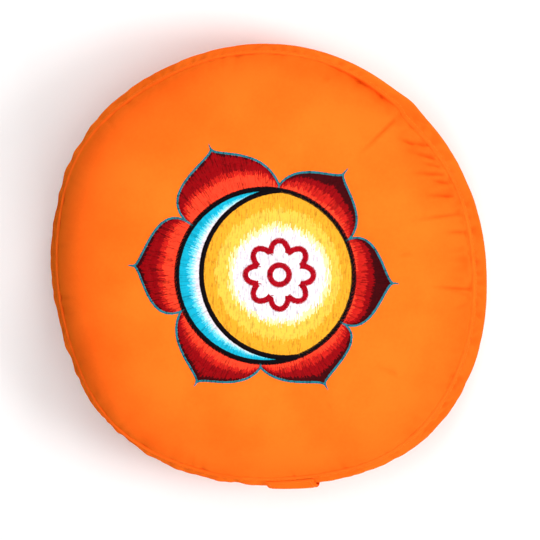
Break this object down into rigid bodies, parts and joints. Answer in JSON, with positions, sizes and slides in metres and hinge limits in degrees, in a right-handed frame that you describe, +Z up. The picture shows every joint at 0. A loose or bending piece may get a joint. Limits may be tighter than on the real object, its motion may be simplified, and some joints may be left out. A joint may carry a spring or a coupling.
{
  "type": "yoga cushion",
  "caption": "Round filled yoga and meditation cushion with a crowned top panel, a bulging sewn side band, raised seam lips and a flat carry strap down the side.",
  "frame": {"origin": "middle of the flat base, on the surface that the cushion lies on", "axes": "+Z up through the crown of the top panel; the carry handle is on the -Y side, a few degrees towards +X"},
  "size_m": [0.3539, 0.361, 0.15],
  "materials": {
    "cover_cotton": "matt plain-woven cotton, saturated orange, soft sheen at grazing angles",
    "handle_cotton": "the cover's cotton, folded double and edge-stitched",
    "sewing_thread": "matt orange sewing thread of the seams' topstitching",
    "embroidery_thread": "glossy embroidery thread in several colours, satin and long-and-short stitch"
  },
  "bodies": {
    "root": {"cushion": "cover_cotton", "carry_handle": "handle_cotton"}
  },
  "joints": []
}
